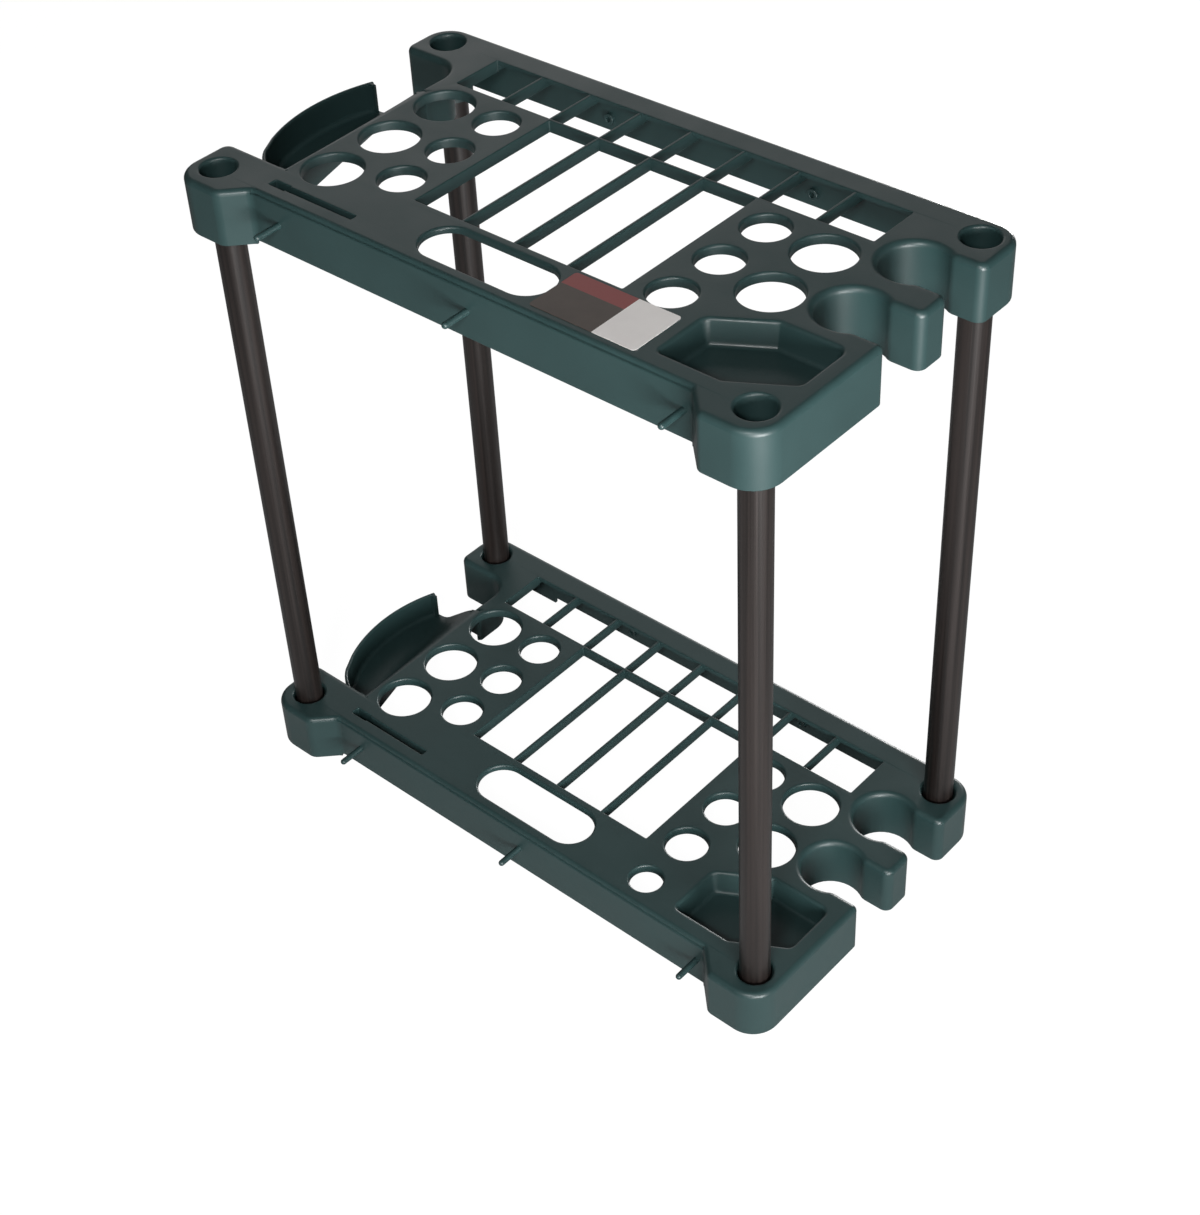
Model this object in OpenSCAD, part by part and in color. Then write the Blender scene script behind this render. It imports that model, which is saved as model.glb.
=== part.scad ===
// Freestanding garden tool rack: two decks of one moulding, held apart by four tube posts
// that push into sockets in the decks' corners.
// X runs along the long side, the front is towards -Y, and the rack stands on z = 0.
// A deck is drawn with its top face at z = 0 and the posts' axes centred on the origin.

/* [Rack] */
// Height from the floor to the top face of the upper deck
rack_h = 609.6; // [450:0.1:800]
// Distance between the posts' axes along the long side
post_pitch_x = 530; // [524:0.5:545]
// Distance between the posts' axes along the short side
post_pitch_y = 260; // [255:0.5:275]
// Outer diameter of a post
post_d = 25.4; // [20:0.1:26.5]
// Wall thickness of a post
post_wall = 1.2; // [0.8:0.1:3]

/* [Deck shell] */
// From a post's axis to the deck's side edge
edge_side = 25; // [23:0.5:28]
// From a post's axis to the deck's back edge
edge_back = 24; // [23:0.5:28]
// From a post's axis to the front face of the corner blocks
edge_front = 28.5; // [26:0.5:34]
// How far the front rail lies behind the front face of the corner blocks
rail_back = 20; // [14:0.5:22]
// Depth of the corner blocks and the right side
block_depth = 48.5; // [46:0.5:60]
// Depth of the front rail
front_depth = 45.5; // [40:0.5:46]
// Depth of the back rail and of the left side behind the trough
back_depth = 42; // [38:0.5:45]
// Thickness of the top plate
plate_t = 3; // [2:0.1:4]
// Thickness of the skirt and of the walls under the plate
wall = 3; // [2:0.1:3.6]
// Radius of the corners round the posts
corner_r = 24; // [18:0.5:25]
// Radius of the small upright corners
small_r = 5; // [4:0.5:6]

/* [Corner blocks] */
// From the middle of the deck to the inner end of a front block's front face
front_block_x = 238; // [232:0.5:244]
// How far the left blocks stand out beside the body of the deck
side_step = 65; // [60:0.5:66]
// From the back posts' axes to the front face of the left back block
back_block_d = 28; // [26:0.5:32]
// Radius of the hollow corner between that block and the body
back_block_fillet = 22; // [15:0.5:24]
// From the front posts' axes to the back face of the left front block
front_block_d = 32; // [28:0.5:34]

/* [Post sockets] */
// Gap between a post and its socket, all round
socket_gap = 0.2; // [0.1:0.05:0.4]
// Wall of the tube that holds a post under the plate
boss_wall = 3; // [2:0.1:4]
// How much wider the socket's mouth is than its bore, on the radius
mouth_gap = 1.9; // [1:0.1:2.5]
// Depth of the wide mouth
mouth_depth = 8; // [4:0.5:10]
// Depth of the ledge that the posts stop at
ledge_depth = 26; // [22:0.5:28]
// Thickness of that ledge
ledge_t = 3; // [2:0.1:4]
// How far the ledge stands in under a post's end
ledge_in = 3.5; // [2:0.1:5]
// Depth of the thin walls that brace the sockets
brace_depth = 38; // [30:0.5:40]
// Thickness of those walls
brace_t = 2.5; // [2:0.1:3]

/* [Grid] */
// Distance between the grid's bars
bar_pitch = 52.2; // [50:0.1:53.2]
// Thickness of a bar
bar_t = 3; // [2:0.1:4]
// Depth of a bar
bar_depth = 10.5; // [8:0.5:14]
// From the middle of the deck to the middle of the cross bar
cross_y = 79.3; // [77:0.1:82]
// From the middle of the deck to the back rail's flange
flange_y = 129.2; // [125:0.1:132]
// From the middle of the deck to the front edge of the long gaps
grid_front_y = 74; // [70:0.5:76]

/* [Round holes] */
// Radius of the five large holes
large_r = 24.8; // [20:0.1:25.5]
// Radius of the six middle holes
middle_r = 19; // [15:0.1:20]
// Radius of the small hole at the front
little_r = 14.7; // [10:0.1:15.5]
// From the middle of the deck to the columns of large holes
large_x = 189; // [188:0.1:190]
// From the middle of the deck to the columns of middle holes
middle_x = 134.3; // [132:0.1:136]
// Distance between large holes in a column
large_pitch = 62.8; // [61:0.1:63.4]
// Distance between middle holes in a column
middle_pitch = 53.7; // [52:0.1:55]
// How far the middle of the large columns lies in front of the deck's middle
large_front = 15.5; // [14:0.1:16]
// How far the middle of the middle columns lies in front of the deck's middle
middle_front = 3.4; // [1:0.1:5]
// Place of the small hole, to the right of the middle
little_x = 133; // [130:0.5:135]
// Place of the small hole, in front of the middle
little_front = 110; // [108:0.5:112]
// Depth of the collars round the holes
collar_depth = 8; // [5:0.5:12]
// Wall of the collars
collar_wall = 2.5; // [2:0.1:3]

/* [Long hole and slot] */
// Length of the round-ended hole in the front rail
long_hole_w = 124.4; // [100:0.5:130]
// Width of the round-ended hole
long_hole_d = 43.4; // [36:0.5:46]
// How far its middle lies in front of the deck's middle
long_hole_front = 103.7; // [102:0.5:105]
// Depth of its rim
long_hole_depth = 5; // [4:0.5:8]
// Length of the narrow slot
slot_w = 90.4; // [70:0.5:92]
// Width of the narrow slot
slot_d = 6; // [5:0.5:8]
// Width of the slot's wide end
slot_end_d = 8; // [6:0.5:10]
// Length of the slot's wide end
slot_end_w = 18; // [12:0.5:24]
// Place of the slot's middle, to the left of the deck's middle
slot_x = 167.6; // [164:0.5:168]
// Place of the slot's middle, in front of the deck's middle
slot_front = 120; // [118:0.5:122]
// Depth of the slot's walls
slot_depth = 16; // [10:0.5:20]
// Thickness of the slot's walls
slot_wall = 2; // [1.5:0.1:3]

/* [Hook notches] */
// Radius of the two notches in the right side
notch_r = 27; // [24:0.5:28]
// From the middle of the deck to the notches' centres
notch_x = 247; // [244:0.5:250]
// Distance between the notches' centres
notch_pitch = 75; // [72:0.5:77]
// Width of a notch's mouth
mouth_w = 43.5; // [38:0.5:46]
// How far the front notch's centre lies behind the deck's middle
notch_back = 0.2; // [-2:0.1:2]
// Radius of the corners of the finger between the mouths
finger_r = 8; // [5:0.5:10]
// Radius of the corner in front of the front mouth
mouth_r = 3; // [2:0.5:5]

/* [Tray] */
// Width of the sunk tray at the front right
tray_w = 100.3; // [90:0.5:102]
// Depth of the tray from front to back
tray_d = 76.6; // [70:0.5:78]
// From the middle of the deck to the tray's left edge
tray_x = 172.7; // [171:0.1:176]
// From the middle of the deck to the tray's back edge
tray_front = 42.4; // [41:0.1:46]
// Width of the two cut corners
tray_cut_w = 45; // [30:0.5:50]
// Depth of the two cut corners from front to back
tray_cut_d = 26.5; // [15:0.5:30]
// How far down the tray's floor is
tray_drop = 20; // [12:0.5:28]
// How far the tray's sides lean in from top to bottom
tray_lean = 4; // [2:0.5:8]
// Wall of the tray
tray_wall = 2.5; // [2:0.1:3.5]

/* [Trough] */
// How far the lip stands out past the corner blocks
lip_out = 4.2; // [2:0.1:8]
// Radius of the lip, seen from above
lip_r = 145; // [130:1:170]
// How far the lip's farthest point lies in front of the deck's middle
lip_front = 0; // [-5:0.5:5]
// Radius of the lip's front corner
lip_corner_r = 50; // [44:0.5:56]
// How far the slope into the trough runs out at its front end
slope_front = 1; // [0.5:0.5:8]
// How far the slope runs out at its back end
slope_back = 43; // [34:0.5:46]
// How far behind the deck's middle the trough ends
trough_back = 55; // [45:0.5:66]
// How far down the trough's floor is
trough_drop = 36; // [28:0.5:38]
// How far down the top of the lip is
lip_drop = 10; // [5:0.5:16]
// Thickness of the trough and its lip
trough_t = 3; // [2:0.1:4]

/* [Pegs and screw holes] */
// Diameter of the pegs on the front rail
peg_d = 5.5; // [4:0.1:8]
// How far the pegs stand out past the corner blocks
peg_out = 5; // [2:0.5:12]
// Distance between the pegs
peg_pitch = 200; // [180:1:205]
// How far the middle peg lies to the right of the middle
peg_right = 10; // [0:0.5:15]
// Depth of the pegs' axes under the top face
peg_depth = 22; // [15:0.5:30]
// Diameter of the screw holes in the back rail
screw_d = 5; // [4:0.1:6]
// Distance between the screw holes
screw_pitch = 206; // [198:1:210]
// Depth of the screw holes under the top face
screw_depth = 30; // [20:0.5:34]

/* [Sticker] */
// Width of the sticker on the upper deck
sticker_w = 97.4; // [80:0.5:100]
// Depth of the sticker from front to back
sticker_d = 51.5; // [40:0.5:55]
// Thickness of the sticker
sticker_t = 0.3; // [0.2:0.05:0.6]
// From the middle of the deck to the sticker's left edge
sticker_x = 63.2; // [62:0.5:70]
// From the middle of the deck to the sticker's back edge
sticker_front = 77.7; // [76:0.1:82]
// Radius of the sticker's corners
sticker_r = 3; // [1:0.5:6]

/* [Hidden] */
$fn = 96;

// Overrun of every cut, and of every feature that starts inside another
over = 1;
// The front blocks' slanting faces
slant_a = 45;
// Straight lengths of the twisted slope beside the trough
slope_steps = 6;

deck_color = [0.20, 0.26, 0.26];
post_color = [0.16, 0.14, 0.13];
sticker_color = [0.55, 0.50, 0.44];

post_x = post_pitch_x / 2;
post_y = post_pitch_y / 2;
side_x = post_x + edge_side;
back_y = post_y + edge_back;
front_y = post_y + edge_front;
rail_y = front_y - rail_back;
body_x = side_x - side_step;
block_y = post_y - back_block_d;
front_block_y = post_y - front_block_d;

bore_r = post_d / 2 + socket_gap;
boss_r = bore_r + mouth_gap + boss_wall;
ledge_r = post_d / 2 - ledge_in;

long_gap_x = 2 * bar_pitch - bar_t / 2;
back_gap_x = 4 * bar_pitch - bar_t / 2;

notch_ys = [notch_back, notch_back + notch_pitch];
mouth_half = mouth_w / 2;

trough_front = -front_block_y - wall / 2;
lip_x = side_x + lip_out;
lip_c = [lip_r - lip_x, -lip_front];
// The corner's circle touches the lip's circle and ends inside the left front block's wall
corner_a = asin((-trough_front - lip_corner_r - lip_front) / (lip_r - lip_corner_r));
corner_c = lip_c - (lip_r - lip_corner_r) * [cos(corner_a), sin(corner_a)];

lower_top = block_depth;
upper_top = rack_h;
post_z = lower_top - ledge_depth;
post_h = upper_top - ledge_depth - ledge_t - post_z;

// Moves the rack so that its outer box is centred on the origin
rack_shift = [(lip_x - side_x) / 2, (front_y + peg_out - back_y) / 2, 0];

// What rounding takes off the corner at p, where dir points from the corner into the material
module corner_cut(p, dir, r) {
    if (r > 0)
        translate(p)
            difference() {
                translate([dir.x > 0 ? -over : -r, dir.y > 0 ? -over : -r])
                    square(r + over);
                translate(r * dir)
                    circle(r);
            }
}

module box2(x0, x1, y0, y1) {
    translate([x0, y0])
        square([x1 - x0, y1 - y0]);
}

// A front corner block and the strip of body behind it, on the right
module front_block(i) {
    shift = i * tan(slant_a / 2);
    difference() {
        polygon([
            [front_block_x - rail_back + shift, -rail_y + i],
            [front_block_x + shift, -front_y + i],
            [side_x - i, -front_y + i],
            [side_x - i, -front_block_y - i],
            [front_block_x - rail_back + shift, -front_block_y - i]
        ]);
        corner_cut([side_x - i, -front_y + i], [-1, 1], corner_r - i);
    }
}

// The left back block, with the hollow corner beside it
module back_block(i) {
    centre = [-body_x - back_block_fillet, block_y - back_block_fillet];
    difference() {
        box2(-side_x + i, -body_x + side_step, block_y + i, back_y - i);
        corner_cut([-side_x + i, back_y - i], [1, -1], corner_r - i);
        corner_cut([-side_x + i, block_y + i], [1, 1], small_r - i);
    }
    difference() {
        box2(centre.x, -body_x + i, centre.y, block_y + i);
        translate(centre)
            circle(back_block_fillet + i);
    }
}

// The deck seen from above, moved in by i all round
module outline(i = 0) {
    difference() {
        union() {
            box2(-body_x + i, side_x - i, -rail_y + i, back_y - i);
            front_block(i);
            mirror([1, 0]) difference() {
                front_block(i);
                corner_cut([side_x - i, -front_block_y - i], [-1, -1], small_r - i);
            }
            back_block(i);
        }
        corner_cut([side_x - i, back_y - i], [-1, -1], corner_r - i);
        for (y = notch_ys) {
            translate([notch_x, y])
                circle(notch_r + i);
            box2(notch_x, side_x + over, y - mouth_half - i, y + mouth_half + i);
        }
        corner_cut([side_x - i, notch_ys[0] - mouth_half - i], [-1, -1], mouth_r - i);
        corner_cut([side_x - i, notch_ys[0] + mouth_half + i], [-1, 1], finger_r - i);
        corner_cut([side_x - i, notch_ys[1] - mouth_half - i], [-1, -1], finger_r - i);
        corner_cut([side_x - i, notch_ys[1] + mouth_half + i], [-1, 1], finger_r - i);
    }
}

// Two windows of the grid, without their bars
module windows(i = 0) {
    box2(-back_gap_x - i, back_gap_x + i, cross_y + bar_t / 2 - i, flange_y);
    box2(-long_gap_x - i, long_gap_x + i, -grid_front_y - i, cross_y - bar_t / 2 + i);
}

module bars() {
    for (k = [-3:3])
        box2(k * bar_pitch - bar_t / 2, k * bar_pitch + bar_t / 2, cross_y, back_y - wall);
    for (k = [-1:1])
        box2(k * bar_pitch - bar_t / 2, k * bar_pitch + bar_t / 2, -grid_front_y - bar_t, cross_y);
}

// Places of the round holes, each [x, y, radius]
hole_list = concat(
    [for (k = [-1:1]) [-large_x, k * large_pitch - large_front, large_r]],
    [for (k = [0:1]) [large_x, k * large_pitch - large_front, large_r]],
    [for (s = [-1, 1], k = [-1:1]) [s * middle_x, k * middle_pitch - middle_front, middle_r]],
    [[little_x, -little_front, little_r]]
);

module holes(i = 0) {
    for (h = hole_list)
        translate([h.x, h.y])
            circle(h[2] + i);
}

module long_hole(i = 0) {
    reach = (long_hole_w - long_hole_d) / 2;
    translate([0, -long_hole_front]) {
        box2(-reach, reach, -long_hole_d / 2 - i, long_hole_d / 2 + i);
        for (s = [-1, 1])
            translate([s * reach, 0])
                circle(long_hole_d / 2 + i);
    }
}

module slot(i = 0) {
    translate([-slot_x, -slot_front]) {
        box2(-slot_w / 2 - i, slot_w / 2 + i, -slot_d / 2 - i, slot_d / 2 + i);
        box2(-slot_w / 2 - i, -slot_w / 2 + slot_end_w + i, -slot_end_d / 2 - i, slot_end_d / 2 + i);
    }
}

module tray_outline(i) {
    x0 = tray_x + i;
    x1 = tray_x + tray_w - i;
    y0 = -tray_front - tray_d + i;
    y1 = -tray_front - i;
    polygon([
        [x0, y0], [x1 - tray_cut_w, y0], [x1, y0 + tray_cut_d],
        [x1, y1], [x0 + tray_cut_w, y1], [x0, y1 - tray_cut_d]
    ]);
}

// The tray's hollow, or its shell when grown by t, from the height top down
module tray_form(t, top) {
    hull() {
        translate([0, 0, top])
            linear_extrude(over)
                tray_outline(-t);
        translate([0, 0, -tray_drop - t])
            linear_extrude(over)
                tray_outline(tray_lean - t);
    }
}

// Something flat drawn down from just inside the plate to a depth
module drop(depth) {
    translate([0, 0, -depth])
        linear_extrude(depth - plate_t / 2)
            children();
}

module box3(x0, x1, y0, y1, z0, z1) {
    translate([x0, y0, z0])
        cube([x1 - x0, y1 - y0, z1 - z0]);
}

// Plate and skirt, with the grid's windows open and the rails cut back from below
module shell() {
    difference() {
        translate([0, 0, -block_depth])
            linear_extrude(block_depth)
                outline();
        translate([0, 0, -block_depth - over])
            linear_extrude(block_depth + over - plate_t)
                outline(wall);
        translate([0, 0, -block_depth])
            linear_extrude(block_depth + over)
                windows();
        box3(-front_block_x + rail_back, front_block_x - rail_back, -rail_y - over,
             -rail_y + wall + over, -block_depth - over, -front_depth);
        box3(-back_gap_x, back_gap_x, back_y - wall - over, back_y + over,
             -block_depth - over, -back_depth);
        box3(-body_x - over, -body_x + wall + over, -front_block_y + wall, block_y - back_block_fillet,
             -block_depth - over, -back_depth);
        box3(-body_x - over, -body_x + wall + over, -front_block_y + wall, trough_back,
             -block_depth - over, -plate_t);
    }
}

// Walls at the grid's ends and inside the left front block
module block_walls() {
    drop(bar_depth)
        for (s = [-1, 1])
            mirror([s > 0 ? 1 : 0, 0])
                box2(-back_gap_x - wall, -back_gap_x, cross_y, back_y - wall / 2);
    drop(front_depth) {
        box2(-front_block_x + rail_back - wall, -front_block_x + rail_back, -rail_y + wall / 2,
             -front_block_y);
        box2(-body_x - wall, -front_block_x + rail_back, -front_block_y - wall, -front_block_y);
    }
}

module post_places() {
    for (sx = [-1, 1], sy = [-1, 1])
        translate([sx * post_x, sy * post_y])
            children();
}

// Tubes that hold the posts, braced to the skirt
module bosses() {
    drop(block_depth)
        post_places()
            circle(boss_r);
    drop(brace_depth) {
        for (sy = [-1, 1]) {
            box2(-side_x + wall / 2, -post_x, sy * post_y - brace_t / 2, sy * post_y + brace_t / 2);
            box2(post_x, side_x - wall / 2, sy * post_y - brace_t / 2, sy * post_y + brace_t / 2);
        }
        for (sx = [-1, 1]) {
            box2(sx * post_x - brace_t / 2, sx * post_x + brace_t / 2, block_y + wall, back_y - wall / 2);
            box2(sx * post_x - brace_t / 2, sx * post_x + brace_t / 2, -front_y + wall / 2, -post_y);
        }
    }
}

// Socket for one post: a wide mouth, a bore, and a ledge that both posts can stop at
module socket() {
    translate([0, 0, -mouth_depth])
        cylinder(h = mouth_depth + over, r = bore_r + mouth_gap);
    translate([0, 0, -ledge_depth])
        cylinder(h = ledge_depth, r = bore_r);
    translate([0, 0, -ledge_depth - ledge_t - over])
        cylinder(h = ledge_depth, r = ledge_r);
    translate([0, 0, -block_depth - over])
        cylinder(h = block_depth + over - ledge_depth - ledge_t, r = bore_r);
}

// The trough seen from above, moved in by i at the lip
module trough_area(i = 0) {
    split_y = lip_c.y - (lip_r - i) * sin(corner_a);
    intersection() {
        translate(lip_c)
            circle(lip_r - i, $fn = 4 * $fn);
        box2(-lip_x - over, -body_x, split_y, trough_back);
    }
    intersection() {
        translate(corner_c)
            circle(lip_corner_r - i);
        box2(-lip_x - over, corner_c.x, trough_front, split_y);
    }
    box2(corner_c.x, -body_x, trough_front, split_y);
}

// Section of the slope at y, whose lower edge lies run outside the deck's side
function slope_section(y, run) = [
    [-body_x, y, 0],
    [-body_x - run, y, -trough_drop],
    [-body_x - run + trough_t, y, -trough_drop - trough_t],
    [-body_x + 2 * trough_t, y, -plate_t],
    [-body_x + 2 * trough_t, y, -plate_t / 2]
];

// The slope from the deck's left side down to the trough's floor
module slope() {
    sections = [for (j = [0:slope_steps])
        let (share = j / slope_steps)
        slope_section(trough_front + share * (trough_back - trough_front),
                      slope_front + share * (slope_back - slope_front))];
    n = len(sections[0]);
    last = slope_steps * n;
    points = [for (s = sections, p = s) p];
    sides = [for (a = [0:n:last - n], k = [0:n - 1])
        let (next = (k + 1) % n)
        each [[a + k, a + next, a + next + n], [a + k, a + next + n, a + k + n]]];
    ends = [[for (k = [0:n - 1]) n - 1 - k], [for (k = [0:n - 1]) last + k]];
    polyhedron(points, concat(sides, ends));
}

// The trough on the left side: slope, floor and lip
module trough() {
    slope();
    translate([0, 0, -trough_drop - trough_t])
        linear_extrude(trough_t)
            intersection() {
                trough_area();
                polygon([
                    [-lip_x - over, trough_front],
                    [-body_x - slope_front + trough_t / 2, trough_front],
                    [-body_x - slope_back + trough_t / 2, trough_back],
                    [-lip_x - over, trough_back]
                ]);
            }
    translate([0, 0, -trough_drop - trough_t])
        linear_extrude(trough_drop + trough_t - lip_drop)
            difference() {
                trough_area();
                trough_area(trough_t);
            }
}

module pegs() {
    for (k = [-1:1])
        translate([peg_right + k * peg_pitch, -rail_y + wall / 2, -peg_depth])
            rotate([90, 0, 0])
                cylinder(h = rail_back + peg_out + wall / 2, d = peg_d, $fn = 32);
}

module screw_holes() {
    for (s = [-1, 1])
        translate([s * screw_pitch / 2, back_y + over, -screw_depth])
            rotate([90, 0, 0])
                cylinder(h = wall + 2 * over, d = screw_d, $fn = 32);
}

// One deck, its top face at z = 0
module deck() {
    difference() {
        union() {
            shell();
            translate([0, 0, -bar_depth])
                linear_extrude(bar_depth) {
                    difference() {
                        windows(bar_t);
                        windows();
                    }
                    bars();
                }
            drop(collar_depth)
                holes(collar_wall);
            drop(long_hole_depth)
                long_hole(collar_wall);
            drop(slot_depth)
                slot(slot_wall);
            block_walls();
            bosses();
            tray_form(tray_wall, -plate_t / 2 - over);
            trough();
            pegs();
        }
        translate([0, 0, -block_depth - over])
            linear_extrude(block_depth + 2 * over) {
                holes();
                long_hole();
                slot();
            }
        tray_form(0, 0);
        post_places()
            socket();
        screw_holes();
    }
}

module lower_deck() {
    color(deck_color)
        translate(rack_shift + [0, 0, lower_top])
            deck();
}

module upper_deck() {
    color(deck_color)
        translate(rack_shift + [0, 0, upper_top])
            deck();
}

// A post, open at both ends
module post(sx, sy) {
    color(post_color)
        translate(rack_shift + [sx * post_x, sy * post_y, post_z])
            difference() {
                cylinder(h = post_h, d = post_d);
                translate([0, 0, -over])
                    cylinder(h = post_h + 2 * over, d = post_d - 2 * post_wall);
            }
}

module post_front_left() {
    post(-1, -1);
}

module post_front_right() {
    post(1, -1);
}

module post_back_left() {
    post(-1, 1);
}

module post_back_right() {
    post(1, 1);
}

// A thin printed sticker that lies on the upper deck, over its small hole
module sticker() {
    color(sticker_color)
        translate(rack_shift + [sticker_x, -sticker_front - sticker_d, upper_top])
            linear_extrude(sticker_t)
                difference() {
                    square([sticker_w, sticker_d]);
                    corner_cut([0, 0], [1, 1], sticker_r);
                    corner_cut([sticker_w, 0], [-1, 1], sticker_r);
                    corner_cut([0, sticker_d], [1, -1], sticker_r);
                    corner_cut([sticker_w, sticker_d], [-1, -1], sticker_r);
                }
}

lower_deck();
upper_deck();
post_front_left();
post_front_right();
post_back_left();
post_back_right();
sticker();
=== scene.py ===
from math import asin, atan2, ceil, cos, pi, radians, sin, sqrt, tan

import bmesh
import bpy
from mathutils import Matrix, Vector
from mathutils.geometry import tessellate_polygon


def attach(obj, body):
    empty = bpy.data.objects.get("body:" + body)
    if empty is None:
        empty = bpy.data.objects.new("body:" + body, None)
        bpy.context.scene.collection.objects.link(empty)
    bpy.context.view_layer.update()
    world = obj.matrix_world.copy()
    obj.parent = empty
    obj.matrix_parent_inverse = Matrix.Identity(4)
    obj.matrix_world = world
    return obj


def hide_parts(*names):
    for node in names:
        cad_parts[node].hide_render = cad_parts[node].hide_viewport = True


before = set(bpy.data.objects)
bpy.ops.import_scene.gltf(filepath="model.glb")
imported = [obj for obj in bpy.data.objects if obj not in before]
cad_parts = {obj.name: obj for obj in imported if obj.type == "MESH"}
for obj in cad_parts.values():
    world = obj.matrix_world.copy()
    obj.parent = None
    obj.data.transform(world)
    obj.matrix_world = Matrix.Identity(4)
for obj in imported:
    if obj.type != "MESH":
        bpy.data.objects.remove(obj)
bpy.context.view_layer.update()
scene = bpy.context.scene
scene.view_settings.view_transform = "Standard"

# Camera: it looks down at the rack from its front right corner, from above the upper deck.
# The lens is a little longer than normal, and the picture is turned by a few degrees.
camera = bpy.data.objects.new("camera", bpy.data.cameras.new("camera"))
scene.collection.objects.link(camera)
camera.data.sensor_fit = "AUTO"
camera.data.sensor_width = 36.0
camera.data.lens = 65.18
camera.data.shift_x = 0.0708
camera.data.shift_y = -0.0318
camera.data.clip_end = 30.0
camera.location = (0.9834, -1.0507, 1.4498)
camera.rotation_euler = (radians(50.291), radians(3.914), radians(42.651))
scene.camera = camera


# Decks: two copies of one injection moulding in dark grey green plastic, a thin plate with a
# skirt, hollow corner blocks and rounded edges. One is drawn in millimetres round the middle
# of its four posts, with its top face at 0.
post_x, post_y = 265.0, 130.0
side_x, back_y, front_y = 290.0, 154.0, 158.5
rail_x, rail_y = 218.0, 138.5
front_block_x, front_block_y = 238.0, 98.0
body_x, block_y, block_fillet = 225.0, 102.0, 22.0
plate_t, wall = 3.0, 3.0
block_depth, front_depth, back_depth, edge_depth = 48.5, 45.5, 42.0, 7.0
trough_end, rolled_edge = 55.0, 6.0
window_x, flange_y = 207.3, 129.2
cross_low, cross_high = 77.8, 80.8
bar_depth = 10.5
near = 0.1
shift_x, shift_y = 2.1, 4.75
lower_top, upper_top = 48.5, 609.6
decks = (("lower_deck", lower_top), ("upper_deck", upper_top))


class Mould:
    """Collects the faces of one moulding, in millimetres."""

    def __init__(self):
        self.verts = []
        self.faces = []

    def add(self, points):
        """Adds points and gives their numbers."""
        first = len(self.verts)
        self.verts += [tuple(p) for p in points]
        return list(range(first, len(self.verts)))

    def skin(self, rows):
        """Joins closed rows of points to a skin, and leaves out faces without an area."""
        n = len(rows[0])
        for a, b in zip(rows, rows[1:]):
            for i in range(n):
                j = (i + 1) % n
                p, q, r, t = (Vector(self.verts[k]) for k in (a[i], a[j], b[j], b[i]))
                if (r - p).cross(t - q).length > 1e-6:
                    self.faces.append((a[i], a[j], b[j], b[i]))

    def sweep(self, loop, profile):
        """Runs a profile round a closed loop. profile(point, side) lists (inset, height) pairs,
        always as many, and may differ between a point's two sides. Gives the rows of points."""
        columns = [[(p + m * inset, z) for inset, z in profile(p, side)]
                   for p, m, side in mitred(loop)]
        rows = [self.add((at.x, at.y, z) for at, z in row) for row in zip(*columns)]
        self.skin(rows)
        return rows

    def fill(self, outer, holes=(), up=True):
        """A flat face between an outer row and the rows of its holes."""
        loops = [outer] + list(holes)
        numbers = [i for loop in loops for i in loop]
        flat = [[Vector((self.verts[i][0], self.verts[i][1], 0)) for i in loop] for loop in loops]
        for tri in tessellate_polygon(flat):
            a, b, c = (numbers[t] for t in tri)
            pa, pb, pc = (Vector(self.verts[i][:2]) for i in (a, b, c))
            cross = (pb - pa).cross(pc - pa)
            if abs(cross) > 1e-9:
                self.faces.append((a, b, c) if (cross > 0) == up else (a, c, b))

    def box(self, low, high, r=0.6):
        """A bar or wall with softened edges."""
        bm = bmesh.new()
        bmesh.ops.create_cube(bm, size=1)
        for v in bm.verts:
            v.co = [(low[k] + high[k]) / 2 + v.co[k] * (high[k] - low[k]) for k in range(3)]
        bmesh.ops.bevel(bm, geom=bm.edges[:], offset=r, segments=2, affect="EDGES")
        first = len(self.verts)
        bm.verts.index_update()
        self.verts += [tuple(v.co) for v in bm.verts]
        self.faces += [tuple(first + v.index for v in f.verts) for f in bm.faces]
        bm.free()

    def make(self, name, top):
        """The finished mesh as an object at the origin, in metres, with its top face at top."""
        mesh = bpy.data.meshes.new(name)
        places = [((x + shift_x) / 1000, (y + shift_y) / 1000, (z + top) / 1000)
                  for x, y, z in self.verts]
        mesh.from_pydata(places, [], self.faces)
        bm = bmesh.new()
        bm.from_mesh(mesh)
        bmesh.ops.remove_doubles(bm, verts=bm.verts, dist=2e-6)
        bmesh.ops.recalc_face_normals(bm, faces=bm.faces)
        bm.to_mesh(mesh)
        bm.free()
        mesh.shade_smooth()
        mesh.set_sharp_from_angle(angle=radians(38))
        obj = bpy.data.objects.new(name, mesh)
        scene.collection.objects.link(obj)
        soft = obj.modifiers.new("even_shading", "WEIGHTED_NORMAL")
        soft.keep_sharp = True
        return obj


def mitred(loop):
    """Gives (point, inward mitre, middle of a side) twice for each point of a loop that has its
    material on the left: once for the side before the point and once for the side after it."""
    out = []
    n = len(loop)
    for i in range(n):
        p, before, after = loop[i], loop[i - 1], loop[(i + 1) % n]
        d1, d2 = (p - before).normalized(), (after - p).normalized()
        n1, n2 = Vector((-d1.y, d1.x)), Vector((-d2.y, d2.x))
        m = (n1 + n2) / max(0.3, 1 + n1.dot(n2))
        out.append((p, m, (before + p) / 2))
        out.append((p, m, (after + p) / 2))
    return out


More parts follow.
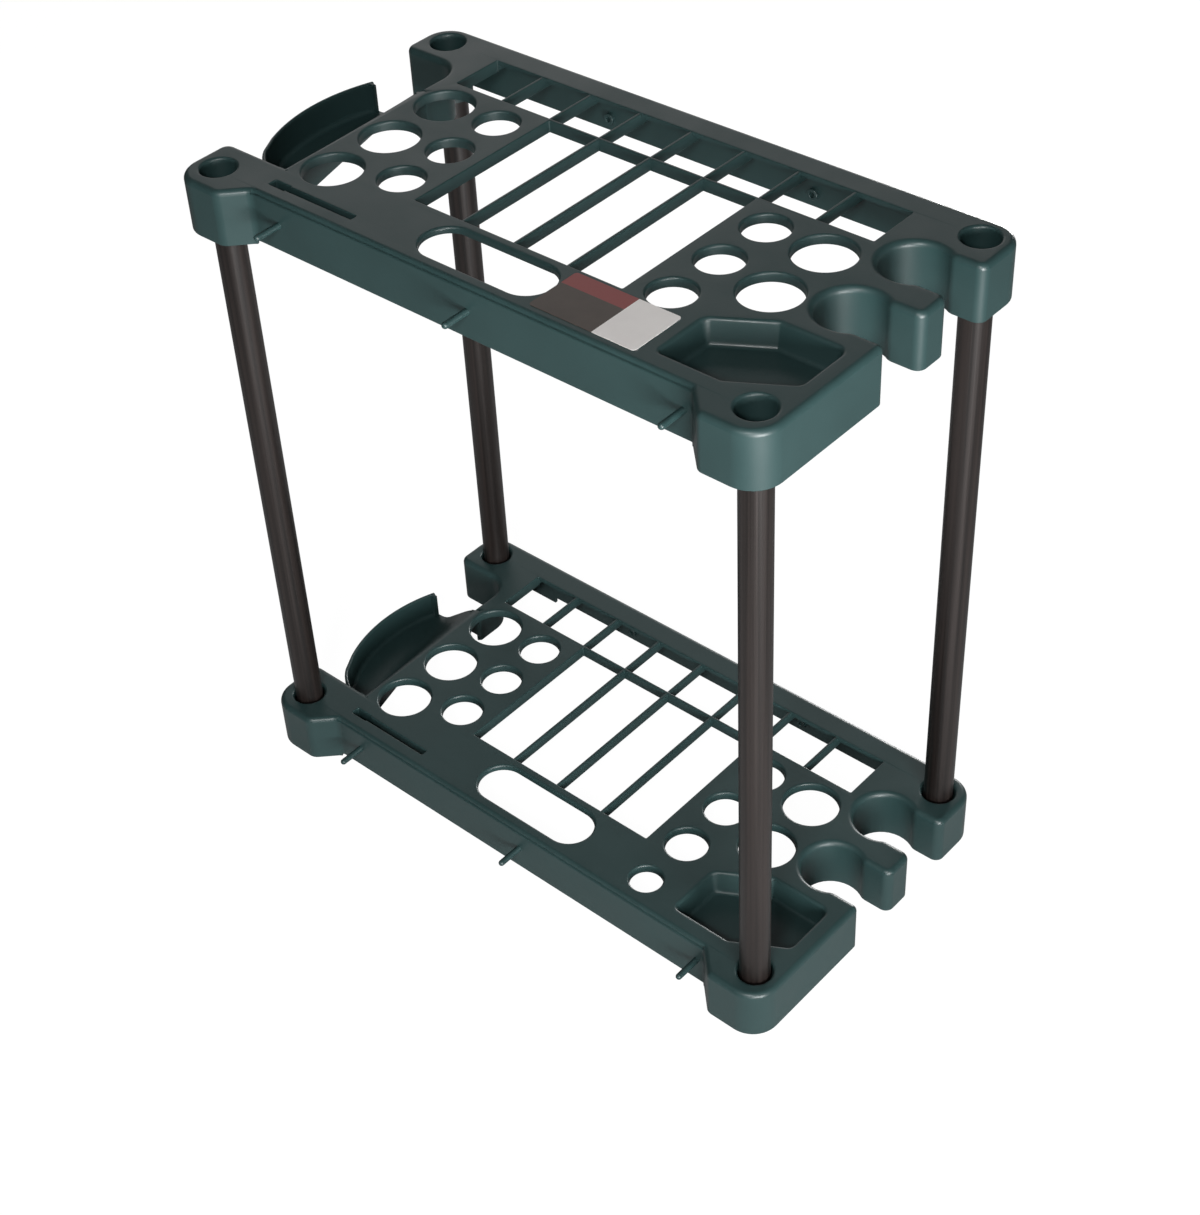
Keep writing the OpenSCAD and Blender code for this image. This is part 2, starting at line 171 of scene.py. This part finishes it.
def rounded(corners, step=7.5):
    """A loop through corners (x, y, r), each turned into an arc of radius r in steps of degrees."""
    loop = []
    n = len(corners)
    for i, (x, y, r) in enumerate(corners):
        p = Vector((x, y))
        if r <= 0:
            loop.append(p)
            continue
        a = (Vector(corners[i - 1][:2]) - p).normalized()
        b = (Vector(corners[(i + 1) % n][:2]) - p).normalized()
        half = a.angle(b) / 2
        c = p + (a + b).normalized() * (r / sin(half))
        s, e = p + a * (r / tan(half)) - c, p + b * (r / tan(half)) - c
        start = atan2(s.y, s.x)
        turn = (atan2(e.y, e.x) - start + pi) % (2 * pi) - pi
        k = max(2, ceil(abs(turn) / radians(step)))
        angles = [start + turn * j / k for j in range(k + 1)]
        loop += [c + Vector((cos(t), sin(t))) * r for t in angles]
    return loop


def circle(x, y, r, count=72):
    """A round hole's loop, with the material outside it."""
    angles = [-2 * pi * k / count for k in range(count)]
    return [Vector((x + r * cos(a), y + r * sin(a))) for a in angles]


def opening(half_x, y0, y1, r):
    """The loop of an opening with four rounded corners, in the middle of the deck."""
    return rounded([(-half_x, y0, r), (-half_x, y1, r), (half_x, y1, r), (half_x, y0, r)])


def fillet(r, count=5):
    """The rounded top edge of a wall, from the flat top down."""
    turns = [pi / 2 * k / count for k in range(count + 1)]
    return [(r - r * sin(a), -r + r * cos(a)) for a in turns]


notch_r, notch_x, notch_y, notch_pitch = 27.0, 247.0, 0.2, 75.0
half_mouth, neck_r, notch_steps = 21.75, 11.0, 26


def notch(y):
    """The round part of a side notch, from its front neck corner to its back one."""
    open_a = asin(half_mouth / notch_r)
    corners = []
    for k in range(notch_steps + 1):
        a = -open_a - (2 * pi - 2 * open_a) * k / notch_steps
        soft = neck_r if k in (0, notch_steps) else 0
        corners.append((notch_x + notch_r * cos(a), y + notch_r * sin(a), soft))
    return corners


edge = [(-side_x, -front_y, 25), (-front_block_x, -front_y, 12), (-rail_x, -rail_y, 10),
        (rail_x, -rail_y, 5), (front_block_x, -front_y, 8), (side_x, -front_y, 25)]
for y, mouth_corner in ((notch_y, 5.2), (notch_y + notch_pitch, 8)):
    edge += [(side_x, y - half_mouth, mouth_corner)] + notch(y) + [(side_x, y + half_mouth, 8)]
edge += [(side_x, back_y, 24), (window_x, back_y, 0), (-window_x, back_y, 0),
         (-side_x, back_y, 24), (-side_x, block_y, 9), (-body_x, block_y, block_fillet),
         (-body_x, trough_end, 0), (-body_x + rolled_edge, trough_end, 0),
         (-body_x + rolled_edge, -front_block_y, 0), (-side_x, -front_block_y, 9)]
outline = rounded(edge)


def skirt_depth(side):
    """How far down the skirt reaches at a place on the outline."""
    if abs(side.x) < rail_x and side.y < -rail_y + near:
        return front_depth
    if abs(side.x) < window_x and side.y > back_y - near:
        return edge_depth
    at_body = -body_x - block_fillet < side.x < -body_x + near
    if at_body and trough_end < side.y < block_y:
        return back_depth
    at_trough = -body_x - near < side.x < -body_x + rolled_edge + near
    if at_trough and -front_block_y < side.y < trough_end + near:
        return edge_depth
    return block_depth


def skirt(p, side):
    """The deck's edge: rounded, with a fine ledge on the front rail, and upright at the trough."""
    depth = skirt_depth(side)
    low = [(0, -depth + 0.8), (0.25, -depth + 0.25), (0.8, -depth), (wall, -depth),
           (wall, -plate_t)]
    if depth == front_depth:
        return [(4.8, 0), (3.5, -0.3), (2.6, -1.1), (2.2, -2.2), (2.0, -3.2), (1.3, -3.5),
                (0.5, -3.9), (0, -5)] + low
    if depth == edge_depth and abs(side.x + body_x - rolled_edge) < near:
        return [(1.5, -0.35 * k) for k in range(8)] + low
    return fillet(5.0, 7) + low


def collar(lip, depth=8.0, thick=2.5):
    """The profile of a hole with a rounded mouth and a collar under the plate."""
    return lambda p, side: fillet(lip) + [(0, -depth), (thick, -depth), (thick, -plate_t)]


def window(p, side):
    """The edge of a window: a short wall, shorter under the flange and thin at the cross bar."""
    depth = 4.0 if side.y > flange_y - 0.2 else bar_depth
    thick = 1.4 if cross_low - near < side.y < cross_high + near else wall
    return fillet(1.0, 3) + [(0, -depth), (thick, -depth), (thick, -plate_t)]


mouth_r, bore_in, ledge_in, boss_t = 14.8, 1.9, 5.6, 3.0
ledge_depth, ledge_t = 26.0, 3.0


def socket(p, side):
    """A post's socket: a wider mouth, the bore, the ledge that the post stands on, and the boss."""
    under = ledge_depth + ledge_t
    mouth = fillet(2.4) + [(-0.2, -5), (-bore_in, -19)]
    ledge = [(-bore_in, -ledge_depth), (-ledge_in, -ledge_depth), (-ledge_in, -under),
             (-bore_in, -under)]
    return mouth + ledge + [(-bore_in, -block_depth), (boss_t, -block_depth), (boss_t, -plate_t)]


large_x, large_pitch, large_front, large_r = 189.0, 62.8, 15.5, 24.8
middle_x, middle_pitch, middle_front, middle_r = 134.3, 53.7, 3.4, 19.0
little_x, little_front, little_r = 133.0, 110.0, 14.7
tray_left, tray_right, tray_front, tray_back = 172.7, 273.0, -119.0, -42.4
slant_x, slant_y, tray_drop = 45.0, 26.5, 20.0
long_half, long_front, long_back, long_r = 62.2, -125.4, -82.0, 21.65
grid_half, grid_front = 102.9, -74.0


def deck_mould():
    """The plate with everything that goes through it, the skirt, the sockets and the tray."""
    m = Mould()
    rows = m.sweep(outline, skirt)
    tops, unders = [], []

    def through(loop, profile):
        r = m.sweep(loop, profile)
        tops.append(r[0])
        unders.append(r[-1])

    for k in (-1, 0, 1):
        through(circle(-large_x, large_pitch * k - large_front, large_r), collar(2.1))
        for s in (-1, 1):
            through(circle(middle_x * s, middle_pitch * k - middle_front, middle_r), collar(2.1))
    for k in (0, 1):
        through(circle(large_x, large_pitch * k - large_front, large_r), collar(2.0))
    through(circle(little_x, -little_front, little_r), collar(2.0))
    for sx in (-1, 1):
        for sy in (-1, 1):
            through(circle(sx * post_x, sy * post_y, mouth_r), socket)

    through(opening(long_half, long_front, long_back, long_r), collar(2.3, 5.5))
    slot = [(-212.8, -124, 1), (-212.8, -116, 1), (-194.8, -116, 1), (-194.8, -117, 0),
            (-122.4, -117, 1), (-122.4, -123, 1), (-194.8, -123, 0), (-194.8, -124, 1)]
    through(rounded(slot), collar(1.0, 16, 2))
    through(opening(window_x, cross_high, flange_y, 1), window)
    through(opening(grid_half, grid_front, cross_low, 1), window)

    hexagon = rounded([
        (tray_left, tray_front, 4), (tray_left, tray_back - slant_y, 9),
        (tray_left + slant_x, tray_back, 5), (tray_right, tray_back, 7),
        (tray_right, tray_front + slant_y, 7), (tray_right - slant_x, tray_front, 5)])
    foot = [(-3.2, 3.8 - tray_drop), (-3.7, 1.8 - tray_drop), (-4.9, 0.5 - tray_drop),
            (-6.8, -tray_drop)]
    sunk = m.sweep(hexagon, lambda p, side: fillet(3.2) + foot)
    m.fill(sunk[-1])
    tops.append(sunk[0])
    shell = m.sweep(hexagon, lambda p, side: [(2.5, -plate_t), (-1.6, -tray_drop - 2.5)])
    m.fill(shell[-1], up=False)
    unders.append(shell[0])

    m.fill(rows[0], tops)
    m.fill(rows[-1], unders, up=False)
    return m


# The trough's lip is a wide arc that turns a tighter corner at its front end. The slope down
# to the floor gets longer towards the back.
lip_centre_x, lip_r = -149.15, 145.0
corner_x, corner_y, corner_r = -230.25, -49.5, 50.0
trough_front, trough_t = -98.5, 3.0
trough_floor, trough_under, lip_top = -36.0, -39.0, -10.0
slope_front, slope_back = 1.0, 43.0


def lip_face(at, inwards, join):
    """X of a face of the lip at y = at. join is where its wide arc meets the front corner."""
    if at > join:
        return lip_centre_x - sqrt((lip_r - inwards) ** 2 - at ** 2)
    return corner_x - sqrt(max(0, (corner_r - inwards) ** 2 - (at - corner_y) ** 2))


def curve(a, k, b, count):
    """Points on a soft bend from a to b that is drawn towards k."""
    steps = [j / count for j in range(count + 1)]
    return [a.lerp(k, t).lerp(k.lerp(b, t), t) for t in steps]


def trough_section(y):
    """The trough's section at y as (x, z) points: rolled edge, slope, floor, lip and underside."""
    at = max(y, trough_front)
    outer, inner = lip_face(at, 0, -75.5), lip_face(at, trough_t, -73.9)
    share = (at - trough_front + 1) / (trough_end - trough_front + 1)
    foot = -body_x - slope_front - (slope_back - slope_front) * share
    bend, soft = min(18, 0.7 * (foot - inner)), min(7, 0.4 * (foot - inner))
    crest, low_end = Vector((-body_x, 0)), Vector((foot, trough_floor))
    down = (low_end - crest).normalized()
    points = curve(Vector((-body_x + 7.5, 0)), crest, crest + down * 22, 12)
    points += curve(low_end - down * bend, low_end, low_end + Vector((-bend, 0)), 9)
    points += curve(Vector((inner + soft * 0.6, trough_floor)), Vector((inner, trough_floor)),
                    Vector((inner, trough_floor + soft * 0.6)), 3)
    mid, half = (inner + outer) / 2, (inner - outer) / 2
    turns = [pi * k / 6 for k in range(7)]
    points += [Vector((mid + half * cos(a), lip_top - 1.5 + 1.5 * sin(a))) for a in turns]
    points += [Vector((outer, trough_under + 0.8)), Vector((outer + 0.8, trough_under)),
               Vector((foot + 3, trough_under)), Vector((-body_x + 4, -2.6)),
               Vector((-body_x + 7.5, -2))]
    return [(p.x, y, p.y) for p in points]


def add_trough(m):
    """The trough beside the left end: it hangs from the plate's rolled edge to a high lip."""
    corner = [corner_y - 49.4 * cos(radians(a)) for a in range(0, 60, 6)]
    stops = [trough_front - 4] + [max(y, trough_front) for y in corner]
    stops += [-61 + 7.0 * k for k in range(16)] + [52, trough_end]
    rows = [m.add(trough_section(y)) for y in stops]
    m.skin(rows)
    for row in (rows[0], rows[-1]):
        flat = [[Vector((m.verts[i][0], m.verts[i][2], 0)) for i in row]]
        m.faces += [tuple(row[t] for t in tri) for tri in tessellate_polygon(flat)]
    outer = lip_face(trough_end, 0, -75.5)
    m.box((outer + 0.1, trough_end - 5, trough_under + 0.2),
          (outer + 7, trough_end - 0.1, lip_top - 0.4), 1.4)
    web = [(-216, -1.5), (-227, -2.5), (-259, -31), (-216, -31)]
    first, last = (m.add((x, y, z) for x, z in web) for y in (trough_end - 3, trough_end - 0.2))
    m.skin([first, last])
    m.faces += [tuple(first), tuple(reversed(last))]


def add_walls(m):
    """The thin walls under the plate that close the corner blocks and brace the sockets."""
    top, brace_depth, half_t, boss_r = -1.5, -38, 1.25, 17.4

    def brace(x, y0, y1):
        m.box((x - half_t, y0, brace_depth), (x + half_t, y1, top), 0.4)

    for s in (-1, 1):
        x = s * (window_x + wall / 2)
        m.box((x - 1.3, 127, -bar_depth), (x + 1.3, back_y - 1, top))
    m.box((-rail_x - wall, -rail_y + 1, -front_depth), (-rail_x, -front_block_y, top))
    m.box((-228, -101, -front_depth), (-rail_x, -front_block_y - near, top))
    for sx in (-1, 1):
        for sy in (-1, 1):
            x, y = sx * (post_x + 20.2), sy * post_y
            m.box((x - 2.8, y - half_t, brace_depth), (x + 2.8, y + half_t, top), 0.4)
        brace(sx * post_x, post_y + boss_r, back_y - 1)
        brace(sx * post_x, post_y - 27, post_y - boss_r)
        brace(sx * post_x, -front_y + 1, -post_y - boss_r)


def add_back_rail(m):
    """The back rail's upright wall with its two screw holes. It is drawn lying down."""
    screw_x, screw_depth, screw_r = 103.0, 30.0, 2.5
    lying = Mould()
    sheet = rounded([(-209, -back_depth, 0), (209, -back_depth, 0), (209, -5.5, 0),
                     (-209, -5.5, 0)])
    face = lying.sweep(sheet, lambda p, side: [(0.7, -0.05), (0, -0.75), (0, -2.4), (0.6, -wall)])
    ring = [(0.3, -0.05), (0, -0.35), (0, -6.3), (0.2, -6.5), (2, -6.5), (2.3, -6.2), (2.3, -wall)]
    holes = [lying.sweep(circle(x, -screw_depth, screw_r, 24), lambda p, side: ring)
             for x in (-screw_x, screw_x)]
    lying.fill(face[0], [h[0] for h in holes])
    lying.fill(face[-1], [h[-1] for h in holes], up=False)
    first = len(m.verts)
    m.verts += [(x, back_y - 0.05 + z, y) for x, y, z in lying.verts]
    m.faces += [tuple(first + i for i in reversed(f)) for f in lying.faces]


def node(tree, kind, inputs=(), **settings):
    """Adds a node, sets what it is set to, and fills or links its inputs by name or number."""
    new = tree.nodes.new(kind)
    for key, value in settings.items():
        setattr(new, key, value)
    for key, value in dict(inputs).items():
        if isinstance(value, bpy.types.NodeSocket):
            tree.links.new(value, new.inputs[key])
        else:
            new.inputs[key].default_value = value
    return new


def plastic(name, color, roughness, spread, grain, bump, cloud=14, stretch=(1, 1, 1)):
    """Moulded plastic: a colour that wanders by spread, a fine texture, and uneven gloss."""
    mat = bpy.data.materials.new(name)
    mat.use_nodes = True
    tree = mat.node_tree
    shader = tree.nodes["Principled BSDF"]
    place = node(tree, "ShaderNodeTexCoord").outputs["Object"]
    place = node(tree, "ShaderNodeMapping", {"Vector": place, "Scale": stretch}).outputs["Vector"]
    cloudy = node(tree, "ShaderNodeTexNoise", {
        "Vector": place, "Scale": cloud, "Detail": 4, "Roughness": 0.6}).outputs["Fac"]
    fine = node(tree, "ShaderNodeTexNoise", {
        "Vector": place, "Scale": grain, "Detail": 2, "Roughness": 0.7}).outputs["Fac"]
    darker = [c * (1 - spread) for c in color] + [1]
    lighter = [c * (1 + spread) for c in color] + [1]
    wander = node(tree, "ShaderNodeMapRange", {
        "Value": cloudy, "From Min": 0.35, "From Max": 0.65}).outputs["Result"]
    tint = node(tree, "ShaderNodeMix", {0: wander, 6: darker, 7: lighter}, data_type="RGBA")
    tree.links.new(tint.outputs[2], shader.inputs["Base Color"])
    gloss = node(tree, "ShaderNodeMapRange", {
        "Value": cloudy, "From Min": 0.3, "From Max": 0.7,
        "To Min": roughness - 0.05, "To Max": roughness + 0.07})
    tree.links.new(gloss.outputs["Result"], shader.inputs["Roughness"])
    rough = node(tree, "ShaderNodeBump", {"Height": fine, "Strength": bump, "Distance": 0.0004})
    tree.links.new(rough.outputs["Normal"], shader.inputs["Normal"])
    return mat


def hold(obj, material, slot, *nodes):
    """Gives a piece its finish and fixes it to the rack."""
    obj.data.materials.clear()
    obj.data.materials.append(material)
    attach(obj, "root")
    if nodes:
        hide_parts(*nodes)


deck_plastic = plastic("grey_green_plastic", (0.019, 0.043, 0.043), 0.40, 0.06, 900, 0.10)
deck = deck_mould()
add_trough(deck)
add_walls(deck)
add_back_rail(deck)
for name, top in decks:
    hold(deck.make(name + "_moulding", top), deck_plastic, "deck", name)


# Grid bars: thin upright bars across the two windows of each deck, part of the moulding. Seven
# stand in the back window, three of them run on through the long one, and all are one pitch
# apart. The back ones lie a little lower, to stay inside the rounded back edge.
bar_pitch, bar_foot = 52.2, 10.6
bar_rows = (("back_bars", 7, 79, back_y - 2.9, 0.5), ("long_bars", 3, -75.5, 79.5, 0.1))


def sized_tree(name, sizes):
    """A Geometry Nodes tree with a named input for each size and one geometry output."""
    tree = bpy.data.node_groups.new(name, "GeometryNodeTree")
    kinds = {int: "NodeSocketInt", float: "NodeSocketFloat", tuple: "NodeSocketVector"}
    face = tree.interface
    face.new_socket("Geometry", in_out="INPUT", socket_type="NodeSocketGeometry")
    for key, value in sizes.items():
        socket = face.new_socket(key, in_out="INPUT", socket_type=kinds[type(value)])
        socket.default_value = value
    face.new_socket("Geometry", in_out="OUTPUT", socket_type="NodeSocketGeometry")
    return tree, tree.nodes.new("NodeGroupInput").outputs


def finish_tree(tree, geometry, material):
    """Ends a tree: real geometry with smooth faces and its material."""
    real = node(tree, "GeometryNodeRealizeInstances", {"Geometry": geometry})
    smooth = node(tree, "GeometryNodeSetShadeSmooth", {
        "Geometry": real.outputs[0], "Shade Smooth": True})
    paint = node(tree, "GeometryNodeSetMaterial", {
        "Geometry": smooth.outputs[0], "Material": material})
    node(tree, "NodeGroupOutput", {0: paint.outputs[0]})


def row_of(tree, size):
    """A row of points along X, one pitch apart."""
    step = node(tree, "ShaderNodeCombineXYZ", {"X": size["Pitch"]})
    return node(tree, "GeometryNodeMeshLine", {
        "Count": size["Count"], "Start Location": size["Start"], "Offset": step.outputs[0]},
        mode="OFFSET").outputs[0]


def grown(name, tree, sizes):
    """Runs a tree with these sizes and gives the result as a plain mesh object."""
    seed = bpy.data.objects.new(name + "_seed", bpy.data.meshes.new(name + "_seed"))
    scene.collection.objects.link(seed)
    modifier = seed.modifiers.new("grow", "NODES")
    modifier.node_group = tree
    for item in tree.interface.items_tree:
        if item.in_out == "INPUT" and item.name in sizes:
            modifier[item.identifier] = sizes[item.name]
    bpy.context.view_layer.update()
    done = seed.evaluated_get(bpy.context.evaluated_depsgraph_get())
    mesh = bpy.data.meshes.new_from_object(done)
    mesh.name = name
    bpy.data.objects.remove(seed)
    mesh.set_sharp_from_angle(angle=radians(50))
    obj = bpy.data.objects.new(name, mesh)
    scene.collection.objects.link(obj)
    return obj


def bar_tree():
    """A row of bars, each a rounded section run along Y."""
    tree, size = sized_tree("bar_row", {
        "Count": 7, "Start": (0.0, 0.0, 0.0), "Pitch": 0.0522, "Length": 0.07,
        "Thickness": 0.003, "Depth": 0.0105, "Edge Radius": 0.0008})
    row = row_of(tree, size)
    end = node(tree, "ShaderNodeCombineXYZ", {"Y": size["Length"]})
    path = node(tree, "GeometryNodeCurvePrimitiveLine", {"End": end.outputs[0]})
    section = node(tree, "GeometryNodeCurvePrimitiveQuadrilateral", {
        "Width": size["Thickness"], "Height": size["Depth"]})
    section = node(tree, "GeometryNodeFilletCurve", {
        "Curve": section.outputs[0], "Radius": size["Edge Radius"], "Count": 3}, mode="POLY")
    bar = node(tree, "GeometryNodeCurveToMesh", {
        "Curve": path.outputs[0], "Profile Curve": section.outputs[0], "Fill Caps": True})
    bars = node(tree, "GeometryNodeInstanceOnPoints", {
        "Points": row, "Instance": bar.outputs[0]})
    finish_tree(tree, bars.outputs[0], deck_plastic)
    return tree


bar_row = bar_tree()
for name, top in decks:
    for part, count, y0, y1, sunk in bar_rows:
        start_x = shift_x - (count - 1) / 2 * bar_pitch
        bars = grown(name + "_" + part, bar_row, {
            "Count": count, "Length": (y1 - y0) / 1000, "Depth": (bar_foot - sunk) / 1000,
            "Start": (start_x / 1000, (y0 + shift_y) / 1000, (top - (bar_foot + sunk) / 2) / 1000)})
        hold(bars, deck_plastic, "deck")


# Pegs: three short round pins moulded on the front rail of each deck, which hold small tools by
# a hole or a loop.
peg_pitch, peg_right, peg_depth = 200.0, 10.0, 22.0


def peg_tree():
    """A row of pins that point along Y, each with a rounded tip."""
    tree, size = sized_tree("peg_row", {
        "Count": 3, "Start": (0.0, 0.0, 0.0), "Pitch": 0.2, "Length": 0.025, "Radius": 0.00275})
    row = row_of(tree, size)
    reach = node(tree, "ShaderNodeMath", {0: size["Radius"], 1: size["Length"]},
                 operation="SUBTRACT")
    end = node(tree, "ShaderNodeCombineXYZ", {"Y": reach.outputs[0]}).outputs[0]
    path = node(tree, "GeometryNodeCurvePrimitiveLine", {"End": end})
    section = node(tree, "GeometryNodeCurvePrimitiveCircle", {
        "Resolution": 24, "Radius": size["Radius"]})
    pin = node(tree, "GeometryNodeCurveToMesh", {
        "Curve": path.outputs[0], "Profile Curve": section.outputs[0], "Fill Caps": True})
    tip = node(tree, "GeometryNodeMeshUVSphere", {
        "Segments": 24, "Rings": 12, "Radius": size["Radius"]})
    tip = node(tree, "GeometryNodeTransform", {"Geometry": tip.outputs[0], "Translation": end})
    both = node(tree, "GeometryNodeJoinGeometry")
    tree.links.new(pin.outputs[0], both.inputs[0])
    tree.links.new(tip.outputs[0], both.inputs[0])
    pins = node(tree, "GeometryNodeInstanceOnPoints", {
        "Points": row, "Instance": both.outputs[0]})
    finish_tree(tree, pins.outputs[0], deck_plastic)
    return tree


peg_row = peg_tree()
for name, top in decks:
    pegs = grown(name + "_pegs", peg_row, {"Start": (
        (shift_x + peg_right - peg_pitch) / 1000, (shift_y - rail_y) / 1000,
        (top - peg_depth) / 1000)})
    hold(pegs, deck_plastic, "deck")


# Posts: four round tubes in dark brown plastic, pushed into the sockets of both decks down to a
# ledge. Faint lines run along them from the die that they were drawn through.
post_r, post_wall = 12.7, 1.2
post_plastic = plastic("dark_brown_tube", (0.0112, 0.0082, 0.0074), 0.36, 0.55, 300, 0.55,
                       cloud=240, stretch=(1, 1, 0.008))


def tube(name, x, y, count=72):
    """An open tube with softened ends, turned round its own axis."""
    inside, foot = post_r - post_wall, lower_top - ledge_depth
    head = upper_top - ledge_depth - ledge_t
    profile = [(inside, foot + 0.3), (inside + 0.3, foot), (post_r - 0.4, foot),
               (post_r, foot + 0.4), (post_r, head - 0.4), (post_r - 0.4, head),
               (inside + 0.3, head), (inside, head - 0.3)]
    turns = [2 * pi * k / count for k in range(count)]
    m = Mould()
    rows = [m.add((x + r * cos(a), y + r * sin(a), z) for a in turns) for r, z in profile]
    m.skin(rows + rows[:1])
    return m.make(name, 0)


for front_back, sy in (("front", -1), ("back", 1)):
    for left_right, sx in (("left", -1), ("right", 1)):
        name = "post_%s_%s" % (front_back, left_right)
        hold(tube(name + "_tube", sx * post_x, sy * post_y), post_plastic, "post", name)


# Sticker: a thin printed film on the upper deck, with a dark field, a red band and a pale end.
# It is left without words or pictures.
band_y, pale_x = -0.0895, 0.124
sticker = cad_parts["sticker"]


def printed_film():
    """Glossy film in three plain fields, each a little stained."""
    mat = bpy.data.materials.new("printed_film")
    mat.use_nodes = True
    tree = mat.node_tree
    shader = tree.nodes["Principled BSDF"]
    place = node(tree, "ShaderNodeTexCoord").outputs["Object"]
    axes = node(tree, "ShaderNodeSeparateXYZ", {0: place}).outputs
    stain = node(tree, "ShaderNodeTexNoise", {"Vector": place, "Scale": 60, "Detail": 3})
    stain = stain.outputs["Fac"]

    def after(value, limit):
        return node(tree, "ShaderNodeMath", {0: value, 1: limit},
                    operation="GREATER_THAN").outputs[0]

    def over(below, above, factor):
        return node(tree, "ShaderNodeMix", {0: factor, 6: below, 7: above},
                    data_type="RGBA").outputs[2]

    dark = over((0.040, 0.029, 0.023, 1), (0.075, 0.054, 0.042, 1), stain)
    band = over(dark, (0.24, 0.045, 0.042, 1), after(axes["Y"], band_y))
    pale = over((0.84, 0.80, 0.78, 1), (0.94, 0.91, 0.88, 1), stain)
    tree.links.new(over(band, pale, after(axes["X"], pale_x)), shader.inputs["Base Color"])
    shader.inputs["Roughness"].default_value = 0.38
    return mat


sticker.data.materials.clear()
sticker.data.materials.append(printed_film())


# Floor: plain and pale, not part of the rack. The camera sees it as nearly white paper with
# faint shadows, and everything else sees it as it is lit.
far, below = 6.0, -0.0002
floor_mesh = bpy.data.meshes.new("floor")
floor_mesh.from_pydata([(-far, -far, below), (far, -far, below), (far, far, below),
                        (-far, far, below)], [], [(0, 1, 2, 3)])
floor = bpy.data.objects.new("floor", floor_mesh)
scene.collection.objects.link(floor)


def white_paper():
    """Grey paper with a white glow that only the camera sees."""
    mat = bpy.data.materials.new("white_paper")
    mat.use_nodes = True
    tree = mat.node_tree
    shader = tree.nodes["Principled BSDF"]
    shader.inputs["Base Color"].default_value = (0.55, 0.55, 0.55, 1)
    shader.inputs["Roughness"].default_value = 0.9
    shader.inputs["Specular IOR Level"].default_value = 0.1
    seen = node(tree, "ShaderNodeLightPath").outputs["Is Camera Ray"]
    share = node(tree, "ShaderNodeMath", {0: seen, 1: 0.86}, operation="MULTIPLY").outputs[0]
    glow = node(tree, "ShaderNodeEmission", {"Color": (1, 1, 1, 1), "Strength": 1.14}).outputs[0]
    mixed = node(tree, "ShaderNodeMixShader", {0: share, 1: shader.outputs[0], 2: glow})
    tree.links.new(mixed.outputs[0], tree.nodes["Material Output"].inputs["Surface"])
    return mat


floor_mesh.materials.append(white_paper())

# Light: a dim room that the camera sees as white, and four lamps. A low one lights the front and
# the right side, a high one the rounded edges, a wide one behind on the left gives the tops their
# sheen, and a weak low one lights the back.
room_light = 0.07
world = bpy.data.worlds.new("room")
scene.world = world
world.use_nodes = True
room = world.node_tree
seen = node(room, "ShaderNodeLightPath").outputs["Is Camera Ray"]
bright = node(room, "ShaderNodeMapRange", {"Value": seen, "To Min": room_light, "To Max": 1.0})
room.nodes["Background"].inputs["Color"].default_value = (1, 1, 1, 1)
room.links.new(bright.outputs["Result"], room.nodes["Background"].inputs["Strength"])


def lamp(name, place, aim, size, spread, power):
    """A square softbox at a place, turned to what it is aimed at."""
    data = bpy.data.lights.new(name, "AREA")
    data.shape = "SQUARE"
    data.size = size
    data.spread = radians(spread)
    data.energy = power
    obj = bpy.data.objects.new(name, data)
    obj.location = place
    obj.rotation_euler = (Vector(aim) - Vector(place)).to_track_quat("-Z", "Y").to_euler()
    scene.collection.objects.link(obj)


lamp("low_front", (1.58, -0.91, 0.55), (0.2, -0.1, 0.58), 0.8, 75, 13)
lamp("high_front", (1.1, -1.8, 1.95), (0, 0, 0.5), 0.4, 120, 14)
lamp("back_left", (-3.2, 3.4, 1.9), (0, 0, 0.5), 3.6, 180, 36)
lamp("low_back", (-0.6, 2.3, 0.3), (0, 0, 0.33), 0.5, 100, 8)
